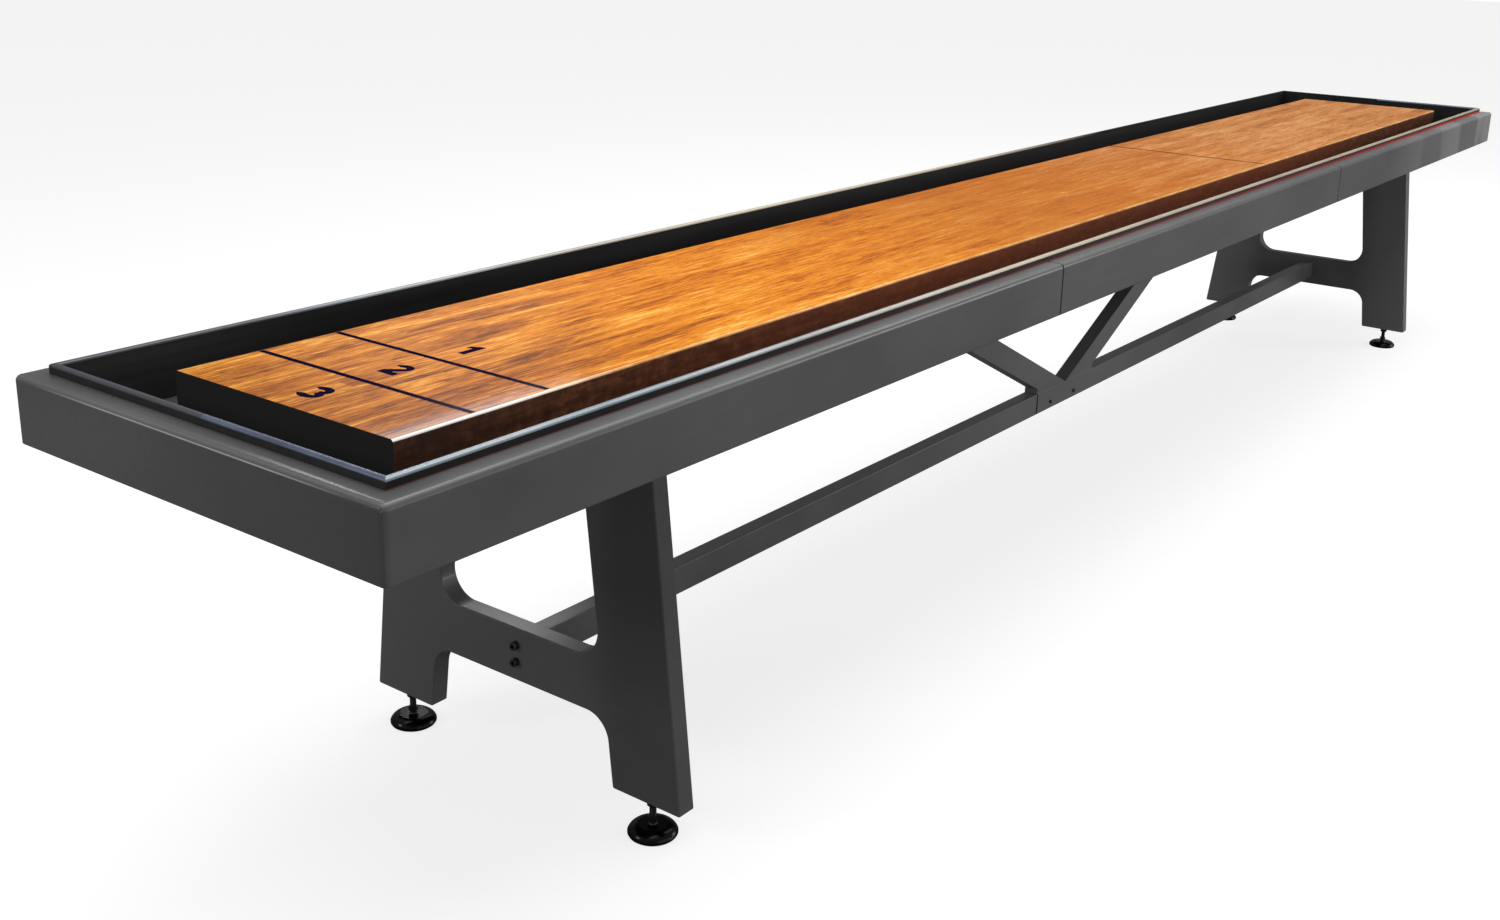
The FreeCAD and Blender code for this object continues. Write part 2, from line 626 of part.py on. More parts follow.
def foot_base(x, y):
    """Domed base with a ball socket."""
    def at(r, z):
        return Vector(x + r, y, z)
    low, middle, high = at(44, 7), at(38.6, 14.6), at(26, BASE_TOP)
    outline = Part.Wire([Part.makeLine(at(0, PAD_H), at(44, PAD_H)),
                         Part.makeLine(at(44, PAD_H), low),
                         Part.Arc(low, middle, high).toShape(),
                         Part.makeLine(high, at(0, BASE_TOP)),
                         Part.makeLine(at(0, BASE_TOP), at(0, PAD_H))])
    base = Part.Face(outline).revolve(Vector(x, y, 0), UP, 360)
    return base.cut(Part.makeSphere(BALL_R + RUN, Vector(x, y, PIVOT_Z)))


def foot_bush(x, y):
    """Truncated ball with a blind bore for the stud."""
    bush = Part.makeSphere(BALL_R, Vector(x, y, PIVOT_Z))
    bush = bush.common(box(x - 20, x + 20, y - 20, y + 20, BUSH_Z0, BUSH_Z1))
    return bush.cut(cylinder(x, y, PIN_Z, PIN_R + RUN, 20))


def foot_stud(x, y):
    """Pin, collar, driving hexagon and plain shank with a chamfered tip."""
    stud = cylinder(x, y, PIN_Z + RUN, PIN_R, 12)
    stud = stud.fuse(cylinder(x, y, BUSH_Z1 + RUN, 6.2, 4.5))
    stud = stud.fuse(hexagon(x, y, STUD_HEX_Z, 17, SHANK_Z - STUD_HEX_Z))
    stud = stud.fuse(cylinder(x, y, SHANK_Z, STUD_R, STUD_Z1 - SHANK_Z))
    stud = one(stud.removeSplitter())
    return stud.cut(revolve([(STUD_R - 1.2, STUD_Z1 + 0.2), (STUD_R + 1, STUD_Z1 + 0.2),
                             (STUD_R + 1, STUD_Z1 - 2.2)], x, y))


for face, sign in FACES:
    for name, side in ENDS:
        for part, build in (("pad", foot_pad), ("base", foot_base),
                            ("bush", foot_bush), ("stud", foot_stud)):
            pieces["foot_%s_%s_%s" % (part, face, name)] = build(side * LEG_X, sign * FOOT_Y)

# ---------------------------------------------------------------- write
os.makedirs("parts", exist_ok=True)
for name, shape in pieces.items():
    one(shape).exportStep("parts/%s.step" % name)
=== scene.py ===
import json
import math

import bmesh
import bpy
from mathutils import Matrix, Vector

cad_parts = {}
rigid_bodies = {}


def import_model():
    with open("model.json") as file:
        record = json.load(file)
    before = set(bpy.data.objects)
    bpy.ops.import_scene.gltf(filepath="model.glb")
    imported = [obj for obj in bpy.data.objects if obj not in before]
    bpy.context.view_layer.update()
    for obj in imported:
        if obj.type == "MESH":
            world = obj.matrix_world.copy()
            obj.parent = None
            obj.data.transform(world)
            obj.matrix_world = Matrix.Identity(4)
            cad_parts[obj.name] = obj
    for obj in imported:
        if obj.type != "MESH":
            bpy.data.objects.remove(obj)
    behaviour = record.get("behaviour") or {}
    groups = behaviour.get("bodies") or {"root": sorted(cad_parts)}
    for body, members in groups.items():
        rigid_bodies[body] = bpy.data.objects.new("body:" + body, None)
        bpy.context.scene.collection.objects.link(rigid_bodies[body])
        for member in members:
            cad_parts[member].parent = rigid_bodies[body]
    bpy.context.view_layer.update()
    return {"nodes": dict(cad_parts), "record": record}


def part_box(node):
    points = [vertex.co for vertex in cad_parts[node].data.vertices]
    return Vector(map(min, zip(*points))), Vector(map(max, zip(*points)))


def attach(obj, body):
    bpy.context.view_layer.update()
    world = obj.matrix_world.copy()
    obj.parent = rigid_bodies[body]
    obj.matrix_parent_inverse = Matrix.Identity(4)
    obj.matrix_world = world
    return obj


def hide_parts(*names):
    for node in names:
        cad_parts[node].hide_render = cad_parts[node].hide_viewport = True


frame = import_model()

nodes = frame["nodes"]
scene = bpy.context.scene


# ------------------------------------------------------------------ node helpers
def srgb(r, g, b):
    """sRGB 0-255 to linear RGBA."""
    def f(c):
        c /= 255.0
        return c / 12.92 if c <= 0.04045 else ((c + 0.055) / 1.055) ** 2.4
    return (f(r), f(g), f(b), 1.0)


class Mat:
    """A small builder for Principled materials driven by procedural nodes."""

    def __init__(self, name):
        self.m = bpy.data.materials.new(name)
        self.m.use_nodes = True
        self.t = self.m.node_tree
        self.t.nodes.clear()
        self.out = self.n("ShaderNodeOutputMaterial")
        self.p = self.n("ShaderNodeBsdfPrincipled")
        self.l(self.p.outputs[0], self.out.inputs[0])
        self.tc = self.n("ShaderNodeTexCoord")
        self.pos = self.tc.outputs["Object"]

    def n(self, kind, **kw):
        node = self.t.nodes.new(kind)
        for k, v in kw.items():
            setattr(node, k, v)
        return node

    def l(self, a, b):
        self.t.links.new(a, b)

    def put(self, socket, value):
        if hasattr(value, "links"):
            self.l(value, socket)
        else:
            socket.default_value = value

    def math(self, op, a, b=0.0, c=0.0, clamp=False):
        node = self.n("ShaderNodeMath", operation=op, use_clamp=clamp)
        self.put(node.inputs[0], a)
        self.put(node.inputs[1], b)
        self.put(node.inputs[2], c)
        return node.outputs[0]

    def vec(self, x, y, z):
        node = self.n("ShaderNodeCombineXYZ")
        for s, v in zip(node.inputs, (x, y, z)):
            self.put(s, v)
        return node.outputs[0]

    def xyz(self, v=None):
        node = self.n("ShaderNodeSeparateXYZ")
        self.l(v or self.pos, node.inputs[0])
        return node.outputs

    def scaled(self, sx, sy, sz, v=None):
        node = self.n("ShaderNodeVectorMath", operation="MULTIPLY")
        self.l(v or self.pos, node.inputs[0])
        node.inputs[1].default_value = (sx, sy, sz)
        return node.outputs[0]

    def vadd(self, a, b):
        node = self.n("ShaderNodeVectorMath", operation="ADD")
        self.put(node.inputs[0], a)
        self.put(node.inputs[1], b)
        return node.outputs[0]

    def noise(self, v, scale=1.0, detail=3.0, rough=0.5, distort=0.0):
        node = self.n("ShaderNodeTexNoise")
        self.l(v, node.inputs["Vector"])
        node.inputs["Scale"].default_value = scale
        node.inputs["Detail"].default_value = detail
        node.inputs["Roughness"].default_value = rough
        node.inputs["Distortion"].default_value = distort
        return node.outputs["Fac"]

    def white(self, v):
        node = self.n("ShaderNodeTexWhiteNoise", noise_dimensions="3D")
        self.l(v, node.inputs["Vector"])
        return node.outputs["Value"]

    def ramp(self, fac, stops, mode="LINEAR"):
        node = self.n("ShaderNodeValToRGB")
        node.color_ramp.interpolation = mode
        el = node.color_ramp.elements
        el[0].position, el[0].color = stops[0][0], stops[0][1]
        el[1].position, el[1].color = stops[-1][0], stops[-1][1]
        for pos, col in stops[1:-1]:
            e = el.new(pos)
            e.color = col
        self.put(node.inputs[0], fac)
        return node.outputs[0]

    def span(self, v, a, b, lo=0.0, hi=1.0):
        node = self.n("ShaderNodeMapRange")
        self.put(node.inputs[0], v)
        for i, x in zip((1, 2, 3, 4), (a, b, lo, hi)):
            self.put(node.inputs[i], x)
        return node.outputs[0]

    def mix(self, fac, a, b, blend="MIX"):
        node = self.n("ShaderNodeMix", data_type="RGBA", blend_type=blend)
        self.put(node.inputs[0], fac)
        self.put(node.inputs[6], a)
        self.put(node.inputs[7], b)
        return node.outputs[2]

    def bump(self, height, strength=0.2, distance=0.001, normal=None):
        node = self.n("ShaderNodeBump")
        node.inputs["Strength"].default_value = strength
        node.inputs["Distance"].default_value = distance
        self.l(height, node.inputs["Height"])
        if normal is not None:
            self.l(normal, node.inputs["Normal"])
        return node.outputs[0]

    def set(self, **kw):
        names = {"color": "Base Color", "rough": "Roughness", "metal": "Metallic", "normal": "Normal",
                 "coat": "Coat Weight", "coat_rough": "Coat Roughness", "spec": "Specular IOR Level",
                 "sheen": "Sheen Weight", "sheen_rough": "Sheen Roughness", "ior": "IOR", "coat_normal": "Coat Normal",
                 "aniso": "Anisotropic"}
        for k, v in kw.items():
            self.put(self.p.inputs[names[k]], v)
        return self


def edge_wear(m, radius=0.0016):
    """0 on flats, towards 1 on tight convex arrises: difference of a bevelled and a true normal."""
    bev = m.n("ShaderNodeBevel", samples=4)
    bev.inputs["Radius"].default_value = radius
    geo = m.n("ShaderNodeNewGeometry")
    dot = m.n("ShaderNodeVectorMath", operation="DOT_PRODUCT")
    m.l(bev.outputs[0], dot.inputs[0])
    m.l(geo.outputs["Normal"], dot.inputs[1])
    return m.math("SUBTRACT", 1.0, dot.outputs["Value"], clamp=True)


# ------------------------------------------------------------------ materials
def paint(name, base, light, dark, rough=0.38, cloud=2.2, far=0.0, leg=False, seams=()):
    """Sprayed satin paint on wood: soft cloudy tone, faint rubbing streaks along X, orange-peel bump."""
    m = Mat(name)
    x, y, z = m.xyz()
    clouds = m.noise(m.scaled(1.0, 1.0, 1.6), cloud, 4.0, 0.55)
    fine = m.noise(m.scaled(5.0, 70.0, 70.0), 1.0, 4.0, 0.6)
    speck = m.noise(m.pos, 700.0, 2.0, 0.5)
    col = m.mix(m.span(clouds, 0.35, 0.68), dark, light)
    col = m.mix(m.span(fine, 0.40, 0.72, 0.0, 0.30), col, base)
    col = m.mix(m.span(speck, 0.64, 0.74, 0.0, 0.08), col, srgb(170, 170, 170))
    if far:
        # soft upright blotches, stronger towards the far end
        up = m.noise(m.scaled(3.4, 1.0, 1.1), 1.0, 2.0, 0.5, 0.3)
        amt = m.span(x, 0.4, 2.4, 0.10, far)
        # painted light: the rails paler towards the far end
        col = m.mix(m.span(x, 1.4, 2.5, 0.0, 0.95), col, srgb(146, 146, 146))
        col = m.mix(m.math("MULTIPLY", m.span(up, 0.48, 0.56), amt), col, srgb(84, 84, 84))
    if far:
        geo = m.n("ShaderNodeNewGeometry")
        gx, gy, gz = m.xyz(geo.outputs["Normal"])
        # painted highlight: a thin light line along the outer top arris of the two end rails, picked by the face's
        # normal
        line = m.math("MULTIPLY", m.span(gz, 0.24, 0.34), m.span(gz, 0.50, 0.40))
        line = m.math("MULTIPLY", line, m.math("MULTIPLY", m.math("GREATER_THAN", m.math("ABSOLUTE", gx), 0.5), m.span(m.math("ABSOLUTE", y), 0.36, 0.20)))
        # painted shade: the near end darker towards its front corner, and so its top
        face = m.math("MULTIPLY", m.span(gx, -0.6, -0.8), m.span(y, 0.30, -0.42, 0.0, 0.50))
        flat = m.math("MULTIPLY", m.span(gz, 0.90, 0.97), m.span(x, -2.60, -2.68, 0.0, 0.40))
        col = m.mix(m.math("MAXIMUM", face, flat), col, srgb(44, 44, 44))
        col = m.mix(m.math("MULTIPLY", line, 0.75), col, srgb(188, 188, 188))
    if leg:
        # painted shade and light: the near front leg a shade darker at its top, the far frame a shade lighter, and the
        # near crossbar lighter
        dim = m.math("MULTIPLY", m.span(x, -1.9, -2.0), m.math("MULTIPLY", m.span(y, -0.14, -0.24), m.span(z, 0.12, 0.66, 0.15, 0.75)))
        col = m.mix(dim, col, srgb(58, 58, 58))
        lit = m.math("MULTIPLY", m.span(x, 1.9, 2.0), m.span(m.math("ABSOLUTE", y), 0.17, 0.24, 0.15, 0.8))
        col = m.mix(lit, col, srgb(120, 120, 120))
        near_bar_painted_light = m.math("MULTIPLY", m.span(x, -1.9, -2.0), m.span(y, -0.22, -0.12, 0.0, 0.7))
        col = m.mix(near_bar_painted_light, col, srgb(102, 102, 102))
    if seams and not far:
        # a little lighter where the two lengths meet
        col = m.mix(m.span(m.math("ABSOLUTE", x), 0.9, 0.2, 0.0, 0.30), col, srgb(138, 138, 138))
    rg = m.math("ADD", m.span(clouds, 0.3, 0.7, rough - 0.05, rough + 0.07), m.span(fine, 0.3, 0.7, -0.03, 0.05))
    h = m.math("ADD", m.noise(m.pos, 420.0, 2.0, 0.5), m.math("MULTIPLY", fine, 0.6))
    for sx, half, side, top in seams:
        # dirt and shadow held in a joint between two lengths
        gap = m.math("ABSOLUTE", m.math("SUBTRACT", x, sx))
        here = m.math("MULTIPLY", m.math("GREATER_THAN", m.math("MULTIPLY", y, side), -0.001), m.math("LESS_THAN", z, top))
        col = m.mix(m.math("MULTIPLY", m.span(gap, half, half * 0.72, 0.0, 0.92), here), col, srgb(16, 16, 16))
    m.set(color=col, rough=rg, normal=m.bump(h, 0.10, 0.0006), spec=0.30, coat=0.30, coat_rough=0.16)
    return m


LAM = 0.0333          # width of one lamella of the board


def wood_board():
    """Laminated maple strips along X under a glossy clear coat; walnut-stained sides; black ends."""
    m = Mat("board_maple")
    x, y, z = m.xyz()
    wav = m.noise(m.scaled(1.1, 3.0, 0.0), 1.0, 2.0, 0.5)
    row = m.math("DIVIDE", m.math("ADD", y, 0.25), LAM)
    sid = m.math("FLOOR", row)
    shift = m.math("MULTIPLY", m.white(m.vec(sid, 3.1, 7.7)), 1.9)
    cid = m.math("FLOOR", m.math("DIVIDE", m.math("ADD", x, shift), 1.15))
    tone = m.white(m.vec(sid, cid, 1.3))
    off = m.math("MULTIPLY", m.white(m.vec(sid, cid, 5.9)), 31.0)
    yy = m.math("ADD", y, m.math("MULTIPLY", m.math("SUBTRACT", wav, 0.5), 0.030))
    xo = m.math("ADD", x, off)
    # figure: broad bands, long streaks, fine fibre, all drawn out along X
    n0 = m.noise(m.vec(m.math("MULTIPLY", x, 2.6), m.math("MULTIPLY", yy, 20.0), 2.0), 1.0, 3.0, 0.55, 0.8)
    n1 = m.noise(m.vec(m.math("MULTIPLY", xo, 7.0), m.math("MULTIPLY", yy, 90.0), off), 1.0, 3.0, 0.58, 0.9)
    n2 = m.noise(m.vec(m.math("MULTIPLY", xo, 16.0), m.math("MULTIPLY", yy, 240.0), off), 1.0, 4.0, 0.64, 0.9)
    n3 = m.noise(m.vec(m.math("MULTIPLY", x, 42.0), m.math("MULTIPLY", yy, 640.0), 0.0), 1.0, 3.0, 0.65, 0.4)
    g = m.math("ADD", m.math("MULTIPLY", n0, 0.24), m.math("MULTIPLY", n1, 0.24))
    g = m.math("ADD", g, m.math("ADD", m.math("MULTIPLY", n2, 0.30), m.math("MULTIPLY", n3, 0.22)))
    g = m.math("ADD", g, m.math("MULTIPLY", m.math("SUBTRACT", tone, 0.5), 0.05))
    # the figure is livelier at the near end and quieter at the far end
    half = m.span(x, -2.2, 1.6, 0.082, 0.112)
    k = m.math("ADD", 0.5, m.math("DIVIDE", m.math("SUBTRACT", g, 0.505), m.math("MULTIPLY", half, 2.0)), clamp=True)
    near = m.ramp(k, [
        (0.0, srgb(90, 40, 4)), (0.16, srgb(122, 60, 4)), (0.34, srgb(154, 82, 8)),
        (0.56, srgb(176, 102, 14)), (0.78, srgb(198, 126, 32)), (1.0, srgb(224, 166, 74))])
    mid = m.ramp(k, [
        (0.0, srgb(150, 75, 4)), (0.20, srgb(190, 103, 10)), (0.42, srgb(213, 123, 18)),
        (0.64, srgb(223, 139, 31)), (0.84, srgb(234, 159, 56)), (1.0, srgb(246, 191, 98))])
    farc = m.ramp(k, [
        (0.0, srgb(140, 76, 26)), (0.22, srgb(178, 106, 46)), (0.45, srgb(198, 128, 66)),
        (0.70, srgb(212, 146, 86)), (1.0, srgb(232, 176, 120))])
    drift = m.math("ADD", x, m.math("MULTIPLY", m.math("SUBTRACT", n0, 0.5), 1.6))
    col = m.mix(m.span(drift, -2.55, -1.75), near, mid)
    # a little browner past the middle, then paler and pinker towards the far end, the paleness a painted sheen of the
    # varnish over the grain
    col = m.mix(m.span(drift, -1.3, -0.5, 0.0, 0.60), col, srgb(172, 92, 22))
    col = m.mix(m.span(drift, 0.0, 1.3), col, farc)
    # dark mineral streaks and short flecks
    ms = m.noise(m.vec(m.math("MULTIPLY", xo, 4.6), m.math("MULTIPLY", yy, 120.0), 3.0), 1.0, 4.0, 0.62, 1.2)
    col = m.mix(m.span(ms, 0.61, 0.70, 0.0, 0.66), col, srgb(120, 54, 14))
    fl = m.noise(m.vec(m.math("MULTIPLY", x, 24.0), m.math("MULTIPLY", yy, 170.0), 8.0), 1.0, 3.0, 0.6, 0.6)
    col = m.mix(m.math("MULTIPLY", m.span(fl, 0.66, 0.74, 0.0, 0.65), m.span(x, 1.5, -1.5, 0.4, 1.0)), col, srgb(84, 40, 16))
    # pale rays where the cut crosses the fibre
    ry = m.noise(m.vec(m.math("MULTIPLY", x, 9.0), m.math("MULTIPLY", yy, 74.0), 21.0), 1.0, 4.0, 0.65, 1.0)
    col = m.mix(m.span(ry, 0.62, 0.74, 0.0, 0.45), col, srgb(252, 190, 104))
    # glue lines between the lamellae
    fy = m.math("FRACT", row)
    seam = m.math("MINIMUM", fy, m.math("SUBTRACT", 1.0, fy))
    col = m.mix(m.span(seam, 0.0, 0.02, 0.22, 0.0), col, srgb(122, 62, 22))
    # stain drawn into the fibre along the far foul line
    foul = m.math("ABSOLUTE", m.math("SUBTRACT", x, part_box("score_lines")[1].x - 0.002))
    col = m.mix(m.span(foul, 0.004, 0.011, 0.75, 0.0), col, srgb(104, 46, 18))
    # stained sides and ends, by the face's direction
    geo = m.n("ShaderNodeNewGeometry")
    nx, ny, nz = m.xyz(geo.outputs["True Normal"])
    up = m.span(nz, 0.42, 0.56)
    s1 = m.noise(m.vec(m.math("MULTIPLY", x, 14.0), 0.0, m.math("MULTIPLY", z, 85.0)), 1.0, 4.0, 0.6, 0.5)
    s2 = m.noise(m.vec(m.math("MULTIPLY", x, 62.0), 0.0, m.math("MULTIPLY", z, 30.0)), 1.0, 3.0, 0.6)
    s3 = m.noise(m.vec(m.math("MULTIPLY", x, 30.0), 0.0, m.math("MULTIPLY", z, 60.0)), 1.0, 5.0, 0.7, 0.4)
    side = m.ramp(m.math("ADD", m.math("MULTIPLY", s1, 0.35), m.math("ADD", m.math("MULTIPLY", s2, 0.25), m.math("MULTIPLY", s3, 0.40))), [
        (0.34, srgb(62, 38, 29)), (0.5, srgb(108, 68, 50)), (0.66, srgb(160, 104, 72))])
    side = m.mix(m.math("MULTIPLY", m.span(x, -2.25, -1.3), m.span(x, 1.9, 0.9, 0.0, 0.42)), side, srgb(172, 92, 64))
    side = m.mix(m.span(x, -2.2, -2.5, 0.0, 0.6), side, srgb(62, 48, 44))
    endf = m.span(m.math("ABSOLUTE", nx), 0.6, 0.8)
    side = m.mix(endf, side, srgb(48, 48, 48))
    under = m.span(nz, -0.7, -0.9)
    side = m.mix(under, side, srgb(150, 112, 74))
    col = m.mix(up, side, col)
    # painted highlight, pale along the long top arrises, most of all by the near corner
    arris_highlight = m.math("MULTIPLY", m.span(nz, 0.30, 0.45), m.span(nz, 0.985, 0.93))
    wn = m.noise(m.scaled(14.0, 1.0, 1.0), 1.0, 4.0, 0.6)
    highlight_amt = m.math("ADD", m.span(wn, 0.40, 0.62, 0.25, 0.75), m.span(x, -2.1, -2.35, 0.0, 0.8), clamp=True)
    arris_highlight = m.math("MULTIPLY", m.math("MULTIPLY", arris_highlight, highlight_amt), m.math("LESS_THAN", m.math("ABSOLUTE", nx), 0.5))
    col = m.mix(arris_highlight, col, m.mix(m.span(x, -2.1, -2.35), srgb(246, 196, 124), srgb(255, 250, 244)))
    rough = m.math("ADD", 0.40, m.math("MULTIPLY", m.math("SUBTRACT", n2, 0.5), 0.12))
    wax = m.noise(m.scaled(9.0, 14.0, 1.0), 1.0, 4.0, 0.6)
    coat_r = m.math("ADD", m.span(wax, 0.3, 0.7, 0.03, 0.07), m.math("MULTIPLY", m.math("SUBTRACT", 1.0, up), 0.3))
    coat = m.math("ADD", m.math("ADD", 0.04, m.math("MULTIPLY", up, 0.11)), m.math("MULTIPLY", arris_highlight, 0.5), clamp=True)
    swirl = m.noise(m.scaled(5.0, 9.0, 3.0), 1.0, 3.0, 0.5)
    m.set(color=col, rough=rough, coat=coat, coat_rough=coat_r, spec=0.045, normal=m.bump(g, 0.05, 0.0005),
          coat_normal=m.bump(swirl, 0.03, 0.002))
    m.p.inputs["Specular Tint"].default_value = (1.0, 0.72, 0.42, 1.0)
    return m


def ink():
    m = Mat("ink_navy")
    n = m.noise(m.pos, 160.0, 3.0, 0.6)
    col = m.mix(m.span(n, 0.35, 0.7), srgb(12, 7, 28), srgb(20, 12, 46))
    m.set(color=col, rough=m.span(n, 0.3, 0.7, 0.44, 0.56), coat=0.03, coat_rough=0.10, spec=0.0, normal=m.bump(n, 0.05, 0.0003))
    return m


def liner():
    """Black satin gutter wall, a little dusty low down, with a thin dark-red line at the foot of the long sides' outer face."""
    m = Mat("gutter_black")
    x, y, z = m.xyz()
    n = m.noise(m.scaled(2.0, 60.0, 60.0), 1.0, 4.0, 0.6)
    d = m.noise(m.pos, 26.0, 4.0, 0.6)
    col = m.mix(m.span(n, 0.3, 0.7), srgb(24, 24, 25), srgb(33, 33, 34))
    col = m.mix(m.span(x, -2.2, -2.5), col, m.mix(m.span(n, 0.3, 0.7), srgb(38, 38, 39), srgb(48, 48, 49)))
    col = m.mix(m.math("MULTIPLY", m.span(d, 0.45, 0.75), m.span(z, 0.80, 0.74, 0.0, 0.25)), col, srgb(48, 46, 44))
    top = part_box("side_rail_front_left")[1].z
    high = m.math("ADD", top, m.span(x, -2.4, 2.6, 0.0016, 0.0060))
    line = m.math("MULTIPLY", m.math("GREATER_THAN", z, top - 0.001), m.math("LESS_THAN", z, high))
    outer = m.math("GREATER_THAN", m.math("ABSOLUTE", y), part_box("gutter_liner_back")[1].y - 0.0008)
    red = m.mix(m.span(x, -2.2, 2.4), srgb(92, 34, 36), srgb(190, 30, 26))
    # painted shade: the long sides' outer face darker, tinted maroon towards the far end
    col = m.mix(m.math("MULTIPLY", outer, 0.85), col, m.mix(m.span(x, -2.0, 1.0), srgb(16, 15, 15), srgb(44, 18, 20)))
    col = m.mix(m.math("MULTIPLY", line, outer), col, red)
    m.set(color=col, rough=m.span(n, 0.3, 0.7, 0.42, 0.56), spec=0.2, normal=m.bump(n, 0.10, 0.0005))
    return m


def trim():
    """Blue-grey satin bead with painted light and shade: cooler and darker near, warmer and paler further along, darker
    at the two ends of the table and on the back; small scuffs and a fine bump.
    """
    m = Mat("trim_grey")
    x, y, z = m.xyz()
    n = m.noise(m.scaled(5.0, 5.0, 5.0), 1.0, 4.0, 0.6)
    s = m.noise(m.pos, 240.0, 3.0, 0.6)
    cool = m.mix(m.span(n, 0.3, 0.7), srgb(132, 144, 152), srgb(158, 168, 174))
    warm = m.mix(m.span(n, 0.3, 0.7), srgb(184, 172, 152), srgb(206, 194, 174))
    # painted reflection: the bead cooler and darker near, warmer and paler further along
    col = m.mix(m.span(x, -2.2, -1.0), cool, warm)
    # painted shade: the beads across the two ends darker
    ends = m.math("GREATER_THAN", m.math("SUBTRACT", m.math("ABSOLUTE", x), m.math("ABSOLUTE", y)),
                  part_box("gutter_trim")[1].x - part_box("gutter_trim")[1].y)
    col = m.mix(ends, col, m.mix(m.span(n, 0.3, 0.7), srgb(66, 72, 92), srgb(100, 110, 130)))
    # painted shade: the back bead darker by its left corner and black towards the far end
    rear = m.math("GREATER_THAN", y, 0.0)
    col = m.mix(m.math("MULTIPLY", rear, m.span(x, -2.05, -2.35)), col, srgb(78, 78, 84))
    dark = m.math("MULTIPLY", rear, m.span(x, 0.15, 0.95))
    col = m.mix(dark, col, srgb(24, 24, 25))
    col = m.mix(m.span(s, 0.62, 0.76, 0.0, 0.4), col, srgb(90, 94, 102))
    m.set(color=col, metal=0.45, rough=m.span(s, 0.3, 0.7, 0.30, 0.42), spec=m.span(dark, 0.0, 1.0, 0.5, 0.1), normal=m.bump(s, 0.06, 0.0003))
    return m


def felt():
    """Short black needle-punched carpet."""
    m = Mat("carpet_black")
    a = m.noise(m.pos, 900.0, 3.0, 0.7)
    b = m.noise(m.pos, 60.0, 3.0, 0.6)
    fib = m.noise(m.vadd(m.scaled(260.0, 1500.0, 400.0), m.vec(b, 0.0, 0.0)), 1.0, 3.0, 0.6, 1.5)
    col = m.mix(m.span(a, 0.3, 0.7), srgb(38, 38, 39), srgb(68, 68, 69))
    col = m.mix(m.span(b, 0.5, 0.8, 0.0, 0.3), col, srgb(66, 65, 63))
    col = m.mix(m.span(fib, 0.60, 0.70, 0.0, 0.35), col, srgb(92, 92, 92))
    h = m.math("ADD", a, m.math("MULTIPLY", fib, 0.6))
    m.set(color=col, rough=0.95, sheen=0.12, sheen_rough=0.5, spec=0.1, normal=m.bump(h, 0.6, 0.0012))
    return m


def ply(name, light, dark):
    """Sanded plywood or softwood with grain along X."""
    m = Mat(name)
    n1 = m.noise(m.scaled(3.0, 60.0, 60.0), 1.0, 4.0, 0.6, 0.8)
    n2 = m.noise(m.scaled(14.0, 320.0, 320.0), 1.0, 3.0, 0.6, 0.2)
    g = m.math("ADD", m.math("MULTIPLY", n1, 0.65), m.math("MULTIPLY", n2, 0.35))
    col = m.mix(m.span(g, 0.32, 0.68), dark, light)
    m.set(color=col, rough=m.span(g, 0.3, 0.7, 0.62, 0.78), spec=0.25, normal=m.bump(g, 0.2, 0.0006))
    return m


def metal(name, light, dark, rough=0.34, metallic=1.0, scuff=0.5):
    m = Mat(name)
    n = m.noise(m.pos, 120.0, 4.0, 0.6)
    s = m.noise(m.pos, 900.0, 3.0, 0.6)
    col = m.mix(m.span(n, 0.3, 0.7), dark, light)
    col = m.mix(m.math("MULTIPLY", edge_wear(m, 0.0008), scuff, clamp=True), col, srgb(170, 168, 164))
    m.set(color=col, metal=metallic, rough=m.math("ADD", m.span(n, 0.3, 0.7, rough - 0.06, rough + 0.1), m.span(s, 0.3, 0.7, 0.0, 0.05)),
          normal=m.bump(s, 0.08, 0.0002))
    return m


def gloss_black():
    """Glossy black moulding of the feet, with dust low on the disc and hairline scratches."""
    m = Mat("foot_black")
    x, y, z = m.xyz()
    n = m.noise(m.pos, 40.0, 4.0, 0.6)
    s = m.noise(m.pos, 700.0, 2.0, 0.5)
    col = m.mix(m.span(n, 0.3, 0.7), srgb(2, 2, 3), srgb(6, 6, 7))
    col = m.mix(m.math("MULTIPLY", m.span(z, 0.009, 0.004), m.span(n, 0.4, 0.7, 0.0, 0.35)), col, srgb(44, 43, 41))
    m.set(color=col, rough=m.span(n, 0.3, 0.7, 0.16, 0.28), coat=0.08, coat_rough=0.06, spec=0.14, normal=m.bump(s, 0.04, 0.0002))
    return m


def rubber():
    m = Mat("foot_rubber")
    n = m.noise(m.pos, 300.0, 4.0, 0.6)
    m.set(color=m.mix(m.span(n, 0.3, 0.7), srgb(14, 14, 14), srgb(26, 26, 26)), rough=0.85, spec=0.2, normal=m.bump(n, 0.3, 0.0005))
    return m


def nylon():
    m = Mat("bush_nylon")
    n = m.noise(m.pos, 200.0, 3.0, 0.6)
    m.set(color=m.mix(m.span(n, 0.3, 0.7), srgb(30, 30, 32), srgb(46, 46, 48)), rough=m.span(n, 0.3, 0.7, 0.4, 0.55), normal=m.bump(n, 0.1, 0.0003))
    return m


RAIL_SEAMS = [((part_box("side_rail_front_left")[1].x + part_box("side_rail_front_middle")[0].x) / 2, 0.0036, 0, 2.0),
              ((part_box("side_rail_front_middle")[1].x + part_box("side_rail_front_right")[0].x) / 2, 0.0036, 0, 2.0)]
LAP_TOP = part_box("stretcher_right")[1].z + 0.0005
LAP_SEAMS = [(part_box("stretcher_right")[0].x - 0.0005, 0.0048, -1, LAP_TOP), (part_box("stretcher_left")[1].x + 0.0005, 0.0048, 1, LAP_TOP)]

